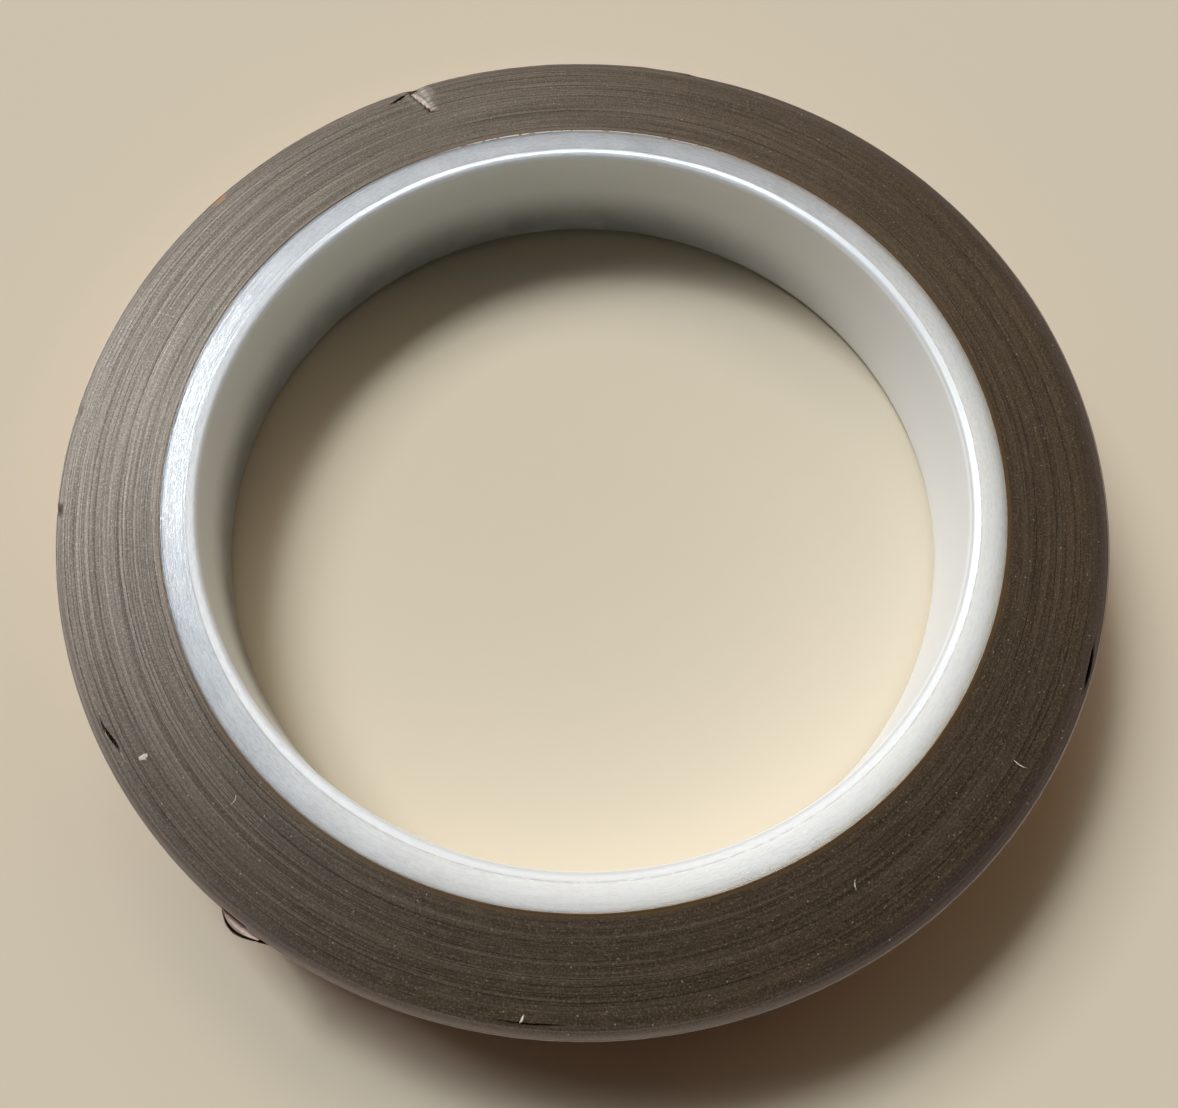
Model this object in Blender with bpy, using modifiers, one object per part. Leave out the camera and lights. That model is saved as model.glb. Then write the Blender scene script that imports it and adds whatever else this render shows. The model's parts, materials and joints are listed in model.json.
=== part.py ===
"""Roll of copper foil tape, lying flat on its side.

The tape is three plies: copper foil outside, adhesive in the middle, paper liner inside. It is
wound on a plastic core. The wound turns are one solid. The outermost turn and the short end that
has lifted off it are modelled ply by ply, because they are what moves.

Frame: metres, +Z up along the roll's axis, origin where that axis meets the bottom face. Angles
are measured about +Z from +X, and the tape winds outward with increasing angle.
"""

import math

import bmesh
import bpy

MM = 0.001

# Core: a plain ring with rounded bore edges and slightly broken outer edges.
BORE_RADIUS = 38.1 * MM
CORE_WALL = 3.5 * MM
CORE_WIDTH = 15.0 * MM
BORE_EDGE_ROUND = 0.9 * MM
CORE_EDGE_BREAK = 0.2 * MM
CORE_RADIUS = BORE_RADIUS + CORE_WALL

# Tape: width, and the thickness of each ply.
TAPE_WIDTH = 15.0 * MM
FOIL = 0.032 * MM
ADHESIVE = 0.016 * MM
LINER = 0.034 * MM
PLY_GAP = 0.002 * MM

# Roll: the outside of the outermost turn, and the film that starts the tape on the core.
ROLL_RADIUS = 51.35 * MM
START_FILM = 0.05 * MM
BOND_GAP = 0.01 * MM
TURN_GAP = 0.02 * MM

# Radii of the outermost turn, from the outside in.
FOIL_OUTSIDE = ROLL_RADIUS
ADHESIVE_OUTSIDE = FOIL_OUTSIDE - FOIL - PLY_GAP
LINER_OUTSIDE = ADHESIVE_OUTSIDE - ADHESIVE - PLY_GAP
PACK_OUTSIDE = LINER_OUTSIDE - LINER - TURN_GAP
FILM_OUTSIDE = CORE_RADIUS + BOND_GAP + START_FILM
PACK_INSIDE = FILM_OUTSIDE + BOND_GAP

# Round faces: every coaxial ring has its corners at the same angles.
SEGMENTS = 120
STEP_ANGLE = 2.0 * math.pi / SEGMENTS
FILLET_STEPS = 4
PEEL_ANGLE = math.radians(234.6)
TURN_STEPS = SEGMENTS - 1

# Lifted end: an arch that rises off the roll at the peel line and comes back down at its tip.
TAIL_LENGTH = 4.2 * MM
TAIL_STEPS = 14
ROOT_GAP = 0.06 * MM
ARCH_LENGTH = 5.2 * MM
ARCH_SKEW = 0.42
FOIL_RISE = 0.90 * MM
LINER_RISE = 0.66 * MM

SHARP_ANGLE = math.radians(40.0)


def clear_scene():
    for obj in list(bpy.data.objects):
        bpy.data.objects.remove(obj, do_unlink=True)


def make_collection(name):
    collection = bpy.data.collections.new(name)
    bpy.context.scene.collection.children.link(collection)
    return collection


def make_material(name, colour, roughness, metallic=0.0):
    material = bpy.data.materials.new(name)
    material.use_nodes = True
    shader = material.node_tree.nodes["Principled BSDF"]
    shader.inputs["Base Color"].default_value = (*colour, 1.0)
    shader.inputs["Roughness"].default_value = roughness
    shader.inputs["Metallic"].default_value = metallic
    return material


def add_empty(name, collection, location, angle, parent=None):
    empty = bpy.data.objects.new(name, None)
    empty.empty_display_size = TAPE_WIDTH
    empty.location = location
    empty.rotation_euler.z = angle
    empty.parent = parent
    collection.objects.link(empty)
    return empty


def add_object(name, mesh, collection, material, parent):
    obj = bpy.data.objects.new(name, mesh)
    obj.data.materials.append(material)
    obj.parent = parent
    collection.objects.link(obj)
    return obj


def outline_mesh(name, points, closed):
    """A mesh of edges only, joining points in order."""
    mesh = bpy.data.meshes.new(name)
    shape = bmesh.new()
    corners = [shape.verts.new(point) for point in points]
    for first, second in zip(corners, corners[1:]):
        shape.edges.new((first, second))
    if closed:
        shape.edges.new((corners[-1], corners[0]))
    shape.to_mesh(mesh)
    shape.free()
    return mesh


def add_screw(obj, angle, steps):
    """Turns a profile about the object's own Z axis."""
    screw = obj.modifiers.new("turn", "SCREW")
    screw.axis = "Z"
    screw.angle = angle
    screw.steps = steps
    screw.render_steps = steps
    screw.merge_threshold = 0.0001
    screw.use_normal_calculate = False


def add_thickness(obj, thickness):
    """Gives an open surface its thickness, on the side its normals point away from."""
    solidify = obj.modifiers.new("thickness", "SOLIDIFY")
    solidify.thickness = thickness
    solidify.offset = -1.0
    solidify.use_even_offset = True


def realise(obj):
    """Replaces the object's mesh with its modified one, smooth on round faces and sharp at edges."""
    graph = bpy.context.evaluated_depsgraph_get()
    mesh = bpy.data.meshes.new_from_object(obj.evaluated_get(graph))
    mesh.name = obj.name
    obj.modifiers.clear()
    obj.data = mesh
    mesh.shade_smooth()
    mesh.set_sharp_from_angle(angle=SHARP_ANGLE)


def corner_arc(centre_radius, centre_height, radius, start):
    """Points of a quarter circle in the profile plane, turning clockwise from the angle start."""
    points = []
    for step in range(FILLET_STEPS + 1):
        angle = start - 0.5 * math.pi * step / FILLET_STEPS
        across = centre_radius + radius * math.cos(angle)
        up = centre_height + radius * math.sin(angle)
        points.append((across, 0.0, up))
    return points


def core_profile():
    """The core's section: down its outer side, in along the bottom, up the bore and back out."""
    wall = CORE_RADIUS - CORE_EDGE_BREAK
    bore = BORE_RADIUS + BORE_EDGE_ROUND
    profile = corner_arc(wall, CORE_WIDTH - CORE_EDGE_BREAK, CORE_EDGE_BREAK, 0.5 * math.pi)
    profile += corner_arc(wall, CORE_EDGE_BREAK, CORE_EDGE_BREAK, 0.0)
    profile += corner_arc(bore, BORE_EDGE_ROUND, BORE_EDGE_ROUND, -0.5 * math.pi)
    profile += corner_arc(bore, CORE_WIDTH - BORE_EDGE_ROUND, BORE_EDGE_ROUND, math.pi)
    return profile


def box_profile(inside, outside, width):
    """A rectangular section, in the same order as the core's."""
    return [
        (outside, 0.0, width),
        (outside, 0.0, 0.0),
        (inside, 0.0, 0.0),
        (inside, 0.0, width),
    ]


def add_ring(name, profile, collection, material, parent):
    """A full ring turned from a closed profile."""
    ring = add_object(name, outline_mesh(name, profile, True), collection, material, parent)
    add_screw(ring, 2.0 * math.pi, SEGMENTS)
    realise(ring)
    return ring


def add_turn_ply(name, outside, thickness, collection, material, parent):
    """One ply of the outermost turn, from just past the peel line round to the peel line."""
    edge = [(outside, 0.0, TAPE_WIDTH), (outside, 0.0, 0.0)]
    ply = add_object(name, outline_mesh(name, edge, False), collection, material, parent)
    ply.rotation_euler.z = PEEL_ANGLE + STEP_ANGLE
    add_screw(ply, TURN_STEPS * STEP_ANGLE, TURN_STEPS)
    add_thickness(ply, thickness)
    realise(ply)
    return ply


def arch_height(distance, rise):
    """How far a ply of the lifted end stands off the roll, at a distance from the peel line."""
    share = distance / ARCH_LENGTH
    return rise * math.sin(math.pi * (share + ARCH_SKEW * share * (1.0 - share)))


def tail_path(outside, rise, inset=0.0):
    """The outer side of a tail ply, in the peel line's frame: X away from the roll, Y along it.

    An inset moves the path inward along its own normal, so that plies can lie on one another.
    """
    points = []
    for step in range(TAIL_STEPS + 1):
        distance = ROOT_GAP + (TAIL_LENGTH - ROOT_GAP) * step / TAIL_STEPS
        angle = distance / ROLL_RADIUS
        radius = outside + arch_height(distance, rise)
        points.append((radius * math.cos(angle) - ROLL_RADIUS, radius * math.sin(angle)))
    moved = []
    for index, (x, y) in enumerate(points):
        before = points[max(index - 1, 0)]
        after = points[min(index + 1, TAIL_STEPS)]
        along = math.hypot(after[0] - before[0], after[1] - before[1])
        normal_x = (after[1] - before[1]) / along
        normal_y = (before[0] - after[0]) / along
        moved.append((x - inset * normal_x, y - inset * normal_y, 0.0))
    return moved


def sheet_mesh(name, path):
    """An open sheet as high as the tape is wide, standing on a path, with its front face out."""
    mesh = bpy.data.meshes.new(name)
    shape = bmesh.new()
    shape.from_mesh(outline_mesh(name + "_path", path, False))
    raised = bmesh.ops.extrude_edge_only(shape, edges=shape.edges[:])
    top = [item for item in raised["geom"] if isinstance(item, bmesh.types.BMVert)]
    bmesh.ops.translate(shape, verts=top, vec=(0.0, 0.0, TAPE_WIDTH))
    shape.normal_update()
    if shape.faces[:][0].normal.x < 0.0:
        bmesh.ops.reverse_faces(shape, faces=shape.faces[:])
    shape.to_mesh(mesh)
    shape.free()
    return mesh


def add_tail_ply(name, path, thickness, collection, material, parent):
    ply = add_object(name, sheet_mesh(name, path), collection, material, parent)
    add_thickness(ply, thickness)
    realise(ply)
    return ply


def build_roll(collection, materials, parent):
    """The core, the film that holds the tape's start on it, and the wound turns."""
    film = box_profile(CORE_RADIUS + BOND_GAP, FILM_OUTSIDE, TAPE_WIDTH)
    pack = box_profile(PACK_INSIDE, PACK_OUTSIDE, TAPE_WIDTH)
    add_ring("core", core_profile(), collection, materials["core"], parent)
    add_ring("start_adhesive", film, collection, materials["adhesive"], parent)
    add_ring("wound_turns", pack, collection, materials["tape_edge"], parent)


def build_outer_turn(collection, materials, parent):
    plies = (
        ("outer_turn_foil", FOIL_OUTSIDE, FOIL, "copper"),
        ("outer_turn_adhesive", ADHESIVE_OUTSIDE, ADHESIVE, "adhesive"),
        ("outer_turn_liner", LINER_OUTSIDE, LINER, "liner"),
    )
    for name, outside, thickness, material in plies:
        add_turn_ply(name, outside, thickness, collection, materials[material], parent)


def build_tail(collection, materials, parent):
    """The lifted end. The adhesive stays on the foil, and the liner has parted from both."""
    foil = tail_path(FOIL_OUTSIDE, FOIL_RISE)
    adhesive = tail_path(FOIL_OUTSIDE, FOIL_RISE, inset=FOIL_OUTSIDE - ADHESIVE_OUTSIDE)
    liner = tail_path(LINER_OUTSIDE, LINER_RISE)
    add_tail_ply("tail_foil", foil, FOIL, collection, materials["copper"], parent)
    add_tail_ply("tail_adhesive", adhesive, ADHESIVE, collection, materials["adhesive"], parent)
    add_tail_ply("tail_liner", liner, LINER, collection, materials["liner"], parent)


def make_materials():
    return {
        "core": make_material("core_plastic", (0.72, 0.75, 0.76), 0.32),
        "tape_edge": make_material("tape_edge", (0.16, 0.12, 0.095), 0.55, 0.35),
        "copper": make_material("copper_foil", (0.76, 0.42, 0.30), 0.28, 1.0),
        "adhesive": make_material("amber_adhesive", (0.52, 0.27, 0.11), 0.22),
        "liner": make_material("paper_liner", (0.80, 0.74, 0.68), 0.70),
    }


def main():
    clear_scene()
    collection = make_collection("copper_foil_tape_roll")
    materials = make_materials()
    roll = add_empty("roll_axis", collection, (0.0, 0.0, 0.0), 0.0)
    turned = add_empty("ring_corners", collection, (0.0, 0.0, 0.0), PEEL_ANGLE, roll)
    unwind = add_empty("unwind_axis", collection, (0.0, 0.0, 0.0), 0.0, roll)
    peel_x = ROLL_RADIUS * math.cos(PEEL_ANGLE)
    peel_y = ROLL_RADIUS * math.sin(PEEL_ANGLE)
    peel = add_empty("peel_line", collection, (peel_x, peel_y, 0.0), PEEL_ANGLE, unwind)
    build_roll(collection, materials, turned)
    build_outer_turn(collection, materials, unwind)
    build_tail(collection, materials, peel)


main()
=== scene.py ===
"""Looks of the copper foil tape roll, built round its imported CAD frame.

The wound side is one closed mesh whose faces carry the tape's real spiral. The core, the start
film, the outermost turn and the lifted end are modelled again with finer surfaces on the CAD sizes.
Lengths are in metres, +Z is the roll's axis, and angles are measured about +Z from +X.
"""

import json
import math

import bpy
import numpy as np
from mathutils import Matrix, Vector


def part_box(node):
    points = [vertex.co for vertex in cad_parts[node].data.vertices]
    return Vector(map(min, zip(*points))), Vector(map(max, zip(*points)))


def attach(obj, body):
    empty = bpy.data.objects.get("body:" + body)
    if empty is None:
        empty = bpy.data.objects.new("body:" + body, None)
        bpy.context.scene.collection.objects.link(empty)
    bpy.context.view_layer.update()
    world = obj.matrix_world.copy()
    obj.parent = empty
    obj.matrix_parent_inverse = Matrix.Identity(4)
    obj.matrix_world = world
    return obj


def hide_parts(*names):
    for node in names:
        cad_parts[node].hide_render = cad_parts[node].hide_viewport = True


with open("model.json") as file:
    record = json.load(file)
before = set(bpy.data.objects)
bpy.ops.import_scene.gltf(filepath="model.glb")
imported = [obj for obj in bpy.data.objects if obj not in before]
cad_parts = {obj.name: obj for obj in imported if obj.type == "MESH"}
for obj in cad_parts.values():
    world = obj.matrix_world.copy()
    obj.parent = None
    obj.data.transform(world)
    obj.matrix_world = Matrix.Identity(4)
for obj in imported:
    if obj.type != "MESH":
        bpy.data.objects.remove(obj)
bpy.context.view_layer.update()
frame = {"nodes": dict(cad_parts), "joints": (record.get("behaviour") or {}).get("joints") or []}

MM = 0.001
TURN = 2.0 * math.pi


# ---------------- sizes taken from the frame


def node_radii(name):
    """The smallest and largest distance of a CAD node's corners from the roll's axis."""
    corners = np.array([vertex.co for vertex in frame["nodes"][name].data.vertices])
    radii = np.hypot(corners[:, 0], corners[:, 1])
    return float(radii.min()), float(radii.max())


def node_angles(name):
    """The first and last angle of a CAD node that doesn't cross the +X axis."""
    corners = np.array([vertex.co for vertex in frame["nodes"][name].data.vertices])
    angles = np.arctan2(corners[:, 1], corners[:, 0]) % TURN
    return float(angles.min()), float(angles.max())


BORE_RADIUS, CORE_RADIUS = node_radii("core")
FILM_INSIDE, FILM_OUTSIDE = node_radii("start_adhesive")
PACK_INSIDE, PACK_OUTSIDE = node_radii("wound_turns")
ROLL_RADIUS = node_radii("outer_turn_foil")[1]
TOP = float(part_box("wound_turns")[1][2])
TAIL_START, TAIL_END = node_angles("tail_foil")
HINGES = {joint["name"]: joint for joint in frame["joints"]}
PEEL_POINT = Vector(HINGES["tail_lift"]["pos_m"])
PEEL_ANGLE = math.atan2(PEEL_POINT.y, PEEL_POINT.x) % TURN

# One turn's thickness: foil, adhesive and liner, and the little air between them.
TURN_THICKNESS = 0.0865 * MM
# The spiral: how many turns the pack shows between its inner and outer circle.
TURNS = round((PACK_OUTSIDE - PACK_INSIDE) / TURN_THICKNESS)
PITCH = (PACK_OUTSIDE - PACK_INSIDE) / TURNS


# ---------------- smooth seeded noise


def knot(cell, seed):
    """A fixed number between -1 and 1 for each whole number."""
    mixed = (cell.astype(np.int64) * 374761393 + seed * 668265263) & 0xFFFFFFFF
    mixed = ((mixed ^ (mixed >> 13)) * 1274126177) & 0xFFFFFFFF
    return ((mixed ^ (mixed >> 16)) & 0xFFFFFF) / 0x7FFFFF - 1.0


def noise(x, seed, repeat=0):
    """Smooth noise between -1 and 1 along a line, with a knot at each whole number.

    Where repeat is given, the noise repeats after that many knots.
    """
    x = np.asarray(x, float)
    cell = np.floor(x)
    after = cell + 1
    share = smooth_step(x - cell)
    if repeat:
        cell, after = cell % repeat, after % repeat
    before = knot(cell, seed)
    return before + (knot(after, seed) - before) * share


def ring_noise(angle, knots, seed):
    """Smooth noise round a circle: it meets itself after a full turn."""
    return noise(np.asarray(angle, float) / TURN * knots, seed, knots)


def smooth_step(x):
    """Rises smoothly from 0 to 1 as x goes from 0 to 1."""
    x = np.clip(x, 0.0, 1.0)
    return x * x * (3.0 - 2.0 * x)


def bump_at(x, centre, half_width):
    """One at the centre, falling smoothly to nothing at the half width."""
    return smooth_step(1.0 - np.abs(x - centre) / half_width)


# ---------------- meshes


# Faces that meet at more than this angle show an edge between them.
SHARP_ANGLE = math.radians(35.0)
CORE_SHARP_ANGLE = math.radians(50.0)


def make_piece(name, points, faces, material, sharp=SHARP_ANGLE):
    """A smooth-shaded object from points and faces."""
    mesh = bpy.data.meshes.new(name)
    mesh.from_pydata([tuple(point) for point in np.asarray(points, float)], [], faces)
    mesh.validate()
    mesh.shade_smooth()
    mesh.set_sharp_from_angle(angle=sharp)
    mesh.materials.append(material)
    piece = bpy.data.objects.new(name, mesh)
    bpy.context.scene.collection.objects.link(piece)
    return piece


def polar_points(radii, angles, heights):
    """Points from their distance from the axis, their angle and their height."""
    return np.stack([radii * np.cos(angles), radii * np.sin(angles), heights], axis=-1)


def grid_faces(rows, columns, close_rows=True):
    """Quads of a grid whose points are stored row by row; every row is a closed ring."""
    faces = []
    for row in range(rows if close_rows else rows - 1):
        above = (row + 1) % rows
        for column in range(columns):
            after = (column + 1) % columns
            faces.append((
                row * columns + column,
                row * columns + after,
                above * columns + after,
                above * columns + column,
            ))
    return faces


def strip_shell(section):
    """Faces of a closed strip: section is (sections, points round it, 3), capped at both ends."""
    sections, around = section.shape[:2]
    faces = [(a, d, c, b) for a, b, c, d in grid_faces(sections, around, False)]
    faces.append(tuple(range(around)))
    faces.append(tuple((sections - 1) * around + corner for corner in reversed(range(around))))
    return faces


def strip_piece(name, section, material):
    return make_piece(name, section.reshape(-1, 3), strip_shell(section), material)


# ---------------- shader helper


class Shader:
    """Adds nodes to a new material, or to a world, and links them."""

    def __init__(self, name, world=False):
        self.owner = bpy.data.worlds.new(name) if world else bpy.data.materials.new(name)
        self.owner.use_nodes = True
        self.tree = self.owner.node_tree
        self.surface = self.tree.nodes["Background" if world else "Principled BSDF"]

    def put(self, socket, value):
        if isinstance(value, bpy.types.NodeSocket):
            self.tree.links.new(value, socket)
        elif isinstance(value, tuple) and len(value) == 3 and socket.type == "RGBA":
            socket.default_value = (*value, 1.0)
        else:
            socket.default_value = value

    def add(self, kind, settings=None, inputs=None):
        node = self.tree.nodes.new(kind)
        for key, value in (settings or {}).items():
            setattr(node, key, value)
        for key, value in (inputs or {}).items():
            self.put(node.inputs[key], value)
        return node

    def math(self, operation, first, second=0.0):
        return self.add("ShaderNodeMath", {"operation": operation}, {0: first, 1: second}).outputs[0]

    def times(self, first, second):
        return self.math("MULTIPLY", first, second)

    def plus(self, first, second):
        return self.math("ADD", first, second)

    def minus(self, first, second):
        return self.math("SUBTRACT", first, second)

    def part(self, vector, axis):
        return self.add("ShaderNodeSeparateXYZ", {}, {"Vector": vector}).outputs[axis]

    def remap(self, value, low, high, new_low=0.0, new_high=1.0):
        """Goes smoothly from new_low to new_high as value goes from low to high."""
        inputs = {"Value": value, "From Min": low, "From Max": high, "To Min": new_low, "To Max": new_high}
        node = self.add("ShaderNodeMapRange", {"interpolation_type": "SMOOTHSTEP"}, inputs)
        return node.outputs["Result"]

    def mix(self, share, first, second):
        """The first colour where share is 0, the second where it is 1."""
        # The mix node's colour sockets share their names with its other types' sockets.
        inputs = {0: share, 6: first, 7: second}
        return self.add("ShaderNodeMix", {"data_type": "RGBA"}, inputs).outputs[2]

    def noise(self, vector, scale, detail=3.0, rough=0.55):
        inputs = {"Vector": vector, "Scale": scale, "Detail": detail, "Roughness": rough}
        return self.add("ShaderNodeTexNoise", {}, inputs).outputs["Fac"]

    def line_noise(self, position, scale, detail=2.0):
        inputs = {"W": position, "Scale": scale, "Detail": detail}
        return self.add("ShaderNodeTexNoise", {"noise_dimensions": "1D"}, inputs).outputs["Fac"]

    def position(self):
        return self.add("ShaderNodeTexCoord").outputs["Object"]

    def bump(self, height, strength, distance):
        inputs = {"Height": height, "Strength": strength, "Distance": distance}
        return self.add("ShaderNodeBump", {}, inputs).outputs["Normal"]

    def finish(self, **inputs):
        """Sets or links the surface's inputs, named with _ for a space."""
        for key, value in inputs.items():
            self.put(self.surface.inputs[key.replace("_", " ")], value)
        return self.owner


def polar_sockets(shader):
    """Position, its parts and radius in mm, and the angle from the peel line in turns."""
    position = shader.position()
    parts = shader.add("ShaderNodeSeparateXYZ", {}, {"Vector": position}).outputs
    across, along, height = (shader.times(parts[axis], 1.0 / MM) for axis in "XYZ")
    radius = shader.math("SQRT", shader.plus(shader.times(across, across), shader.times(along, along)))
    angle = shader.math("ARCTAN2", along, across)
    share = shader.math("FRACT", shader.math("DIVIDE", shader.minus(angle, PEEL_ANGLE), TURN))
    return {"x": across, "y": along, "z": height, "radius": radius, "share": share, "position": position}


def ring_texture(shader, polar, round_scale, radius_scale, height_scale=0.0, detail=3.0, rough=0.55):
    """Noise stretched round the roll: it changes slowly along a turn and fast across turns."""
    across_turns = shader.times(polar["radius"], radius_scale)
    inputs = {
        "X": shader.times(shader.math("DIVIDE", polar["x"], polar["radius"]), round_scale),
        "Y": shader.times(shader.math("DIVIDE", polar["y"], polar["radius"]), round_scale),
        "Z": shader.plus(across_turns, shader.times(polar["z"], height_scale)),
    }
    vector = shader.add("ShaderNodeCombineXYZ", {}, inputs).outputs[0]
    return shader.noise(vector, 1.0, detail, rough)


def rolled_lines(shader, polar):
    """The fine lines that rolling leaves along the foil."""
    return ring_texture(shader, polar, 3.0, 0.0, 34.0, 4.0, 0.65)


def spot(shader, polar, mark):
    """A soft oval mask on the roll, 1 in its middle, from one line of the table of marks."""
    degrees, radius, direction, length, width = mark
    place, turn = math.radians(degrees), math.radians(direction)
    across = shader.minus(polar["x"], radius * math.cos(place))
    along = shader.minus(polar["y"], radius * math.sin(place))
    squares = []
    for first, second, half in (
        (math.cos(turn), math.sin(turn), length),
        (-math.sin(turn), math.cos(turn), width),
    ):
        part = shader.plus(shader.times(across, first / half), shader.times(along, second / half))
        squares.append(shader.times(part, part))
    return shader.remap(shader.math("SQRT", shader.plus(*squares)), 1.0, 0.5)


def slit_mask(shader):
    """1 on a ply's upper and lower slit edge, 0 on its broad faces."""
    facing = shader.add("ShaderNodeNewGeometry").outputs["True Normal"]
    return shader.remap(shader.math("ABSOLUTE", shader.part(facing, "Z")), 0.45, 0.75)


# ---------------- materials


# Marks on the wound side, each an oval: its angle in degrees and its radius in mm, then its
# direction in degrees and its half length and half width in mm.
AMBER_STAIN = (143.0, 51.3, 53.0, 1.3, 0.75)
SCRAPE = (113.75, 49.7, -44.0, 2.3, 0.42)
RUB = (112.6, 50.6, -35.0, 1.6, 0.9)
SCRATCH = (160.0, 46.85, -18.0, 1.15, 0.07)
# Painted shade down in the opened slit at the lower right.
SLIT_SHADE = (338.0, 50.9, 67.0, 2.6, 0.5)

# Noise cells per metre in the finest grain of the tape's side and of the core.
FINE_GRAIN = 5200.0

SIDE_BROWN = (0.037, 0.0235, 0.0120)
SIDE_LIGHT_BROWN = (0.050, 0.0325, 0.0180)
SIDE_DARK_BROWN = (0.018, 0.0110, 0.0058)
SIDE_MOTTLE = (0.068, 0.046, 0.029)
SIDE_FOIL_EDGE = (0.085, 0.045, 0.026)
SIDE_DUST = (0.103, 0.076, 0.050)
SIDE_PIT = (0.012, 0.008, 0.005)
SIDE_FLAKE_AND_GLINT = (0.21, 0.165, 0.12)
SIDE_GAP_SHADE = (0.008, 0.005, 0.003)
SIDE_RIM = (0.085, 0.064, 0.057)
SIDE_TARNISH = (0.026, 0.016, 0.0155)
SIDE_START = (0.085, 0.048, 0.018)
SIDE_SCRATCH = (0.30, 0.25, 0.21)
SIDE_SLIT_SHADE = (0.004, 0.003, 0.002)
SIDE_LINT = (0.26, 0.23, 0.20)
FRAYED = (0.170, 0.132, 0.103)
SCRAPED = (0.42, 0.33, 0.28)
AMBER = (0.30, 0.13, 0.03)


def tape_side_material():
    """Slit edges of stacked foil, adhesive and paper: dull brown, grainy, with faint rings."""
    shader = Shader("tape_side")
    polar = polar_sockets(shader)
    mix, remap, times, plus, minus = shader.mix, shader.remap, shader.times, shader.plus, shader.minus
    radius = polar["radius"]
    inside, outside, top = PACK_INSIDE / MM, PACK_OUTSIDE / MM, TOP / MM
    phase = shader.math("DIVIDE", minus(radius, inside), PITCH / MM)
    wander = ring_texture(shader, polar, 16.0, 0.35, detail=2.0)
    phase = plus(phase, times(minus(wander, 0.5), 2.4))
    from_start = minus(phase, polar["share"])
    strip = plus(shader.math("FLOOR", from_start), polar["share"])
    in_turn = shader.math("FRACT", from_start)

    streak = shader.line_noise(strip, 6.0)
    parted = shader.line_noise(strip, 2.3, 1.0)
    patch = ring_texture(shader, polar, 3.0, 0.8)
    bands = ring_texture(shader, polar, 2.2, 2.4, detail=2.0)
    mottle = ring_texture(shader, polar, 24.0, 2.2, detail=4.0, rough=0.65)
    hairline_gaps = ring_texture(shader, polar, 75.0, 6.0, detail=2.0, rough=0.6)
    flakes = ring_texture(shader, polar, 110.0, -8.0, detail=1.0, rough=0.6)
    grain = shader.noise(polar["position"], FINE_GRAIN, 3.0, 0.75)
    sparkle = shader.noise(polar["position"], 9000.0, 1.0)

    brown = mix(remap(streak, 0.3, 0.7), SIDE_BROWN, SIDE_LIGHT_BROWN)
    # Each layer: the value that shapes it, where it starts to show and where it is full, its
    # strength there, and its colour.
    for value, start, full, strength, tint in (
        (patch, 0.35, 0.65, 0.50, SIDE_DARK_BROWN),
        (bands, 0.40, 0.62, 0.45, SIDE_DARK_BROWN),
        (mottle, 0.45, 0.70, 0.60, SIDE_MOTTLE),
        (in_turn, 0.62, 0.72, 0.18, SIDE_FOIL_EDGE),
        (grain, 0.50, 0.70, 0.90, SIDE_DUST),
        (grain, 0.49, 0.32, 0.80, SIDE_PIT),
        # Painted glints: bright specks on the foil edges.
        (sparkle, 0.72, 0.82, 0.70, SIDE_FLAKE_AND_GLINT),
        (flakes, 0.66, 0.78, 0.70, SIDE_FLAKE_AND_GLINT),
        # Painted shade in hairline gaps between turns.
        (hairline_gaps, 0.35, 0.26, 0.45, SIDE_GAP_SHADE),
    ):
        brown = mix(remap(value, start, full, 0.0, strength), brown, tint)

    # Painted shade in the gaps where turns have parted.
    gap_shade = times(remap(parted, 0.61, 0.69), remap(in_turn, 0.40, 0.70))
    rim = remap(radius, outside - 1.3, outside - 0.2, 0.0, 0.55)
    rim = times(rim, remap(grain, 0.3, 0.6, 0.4, 1.0))
    tarnished = remap(radius, outside - 1.9, outside - 1.2)
    tarnished = times(tarnished, remap(polar["x"], 8.0, 30.0))
    frayed = remap(radius, outside - 0.75, outside + 0.1, 0.0, 0.75)
    frayed = times(frayed, remap(polar["x"], 5.0, 30.0, 1.0, 0.35))
    below_top = remap(polar["z"], top - 0.06, top - 0.18)
    for share, tint in (
        (times(gap_shade, 0.85), SIDE_GAP_SHADE),
        (rim, SIDE_RIM),
        (times(tarnished, 0.45), SIDE_TARNISH),
        (frayed, FRAYED),
        (remap(radius, inside + 0.55, inside + 0.05, 0.0, 0.8), SIDE_START),
        (times(spot(shader, polar, SCRAPE), remap(grain, 0.3, 0.5)), SCRAPED),
        (times(spot(shader, polar, RUB), 0.28), SCRAPED),
        (times(spot(shader, polar, SCRATCH), 0.5), SIDE_SCRATCH),
        (spot(shader, polar, AMBER_STAIN), AMBER),
        # Painted shade in the slit's depth.
        (times(spot(shader, polar, SLIT_SHADE), below_top), SIDE_SLIT_SHADE),
    ):
        brown = mix(share, brown, tint)

    cells = shader.add("ShaderNodeTexVoronoi", {}, {"Vector": polar["position"], "Scale": 1300.0}).outputs
    dusty = shader.math("GREATER_THAN", shader.part(cells["Color"], "X"), 0.72)
    dust = times(remap(cells["Distance"], 0.13, 0.05), dusty)
    colour = mix(times(dust, 0.8), brown, SIDE_LINT)

    rough = remap(streak, 0.3, 0.7, 0.38, 0.33)
    rough = plus(rough, remap(grain, 0.3, 0.7, 0.04, -0.02))
    shine = remap(streak, 0.3, 0.7, 0.32, 0.50)
    shine = plus(shine, remap(grain, 0.35, 0.7, 0.0, 0.12))
    shine = times(shine, remap(gap_shade, 0.0, 1.0, 1.0, 0.4))
    shine = times(shine, remap(bands, 0.35, 0.65, 1.18, 0.82))
    height = plus(grain, times(streak, 0.3))
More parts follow.
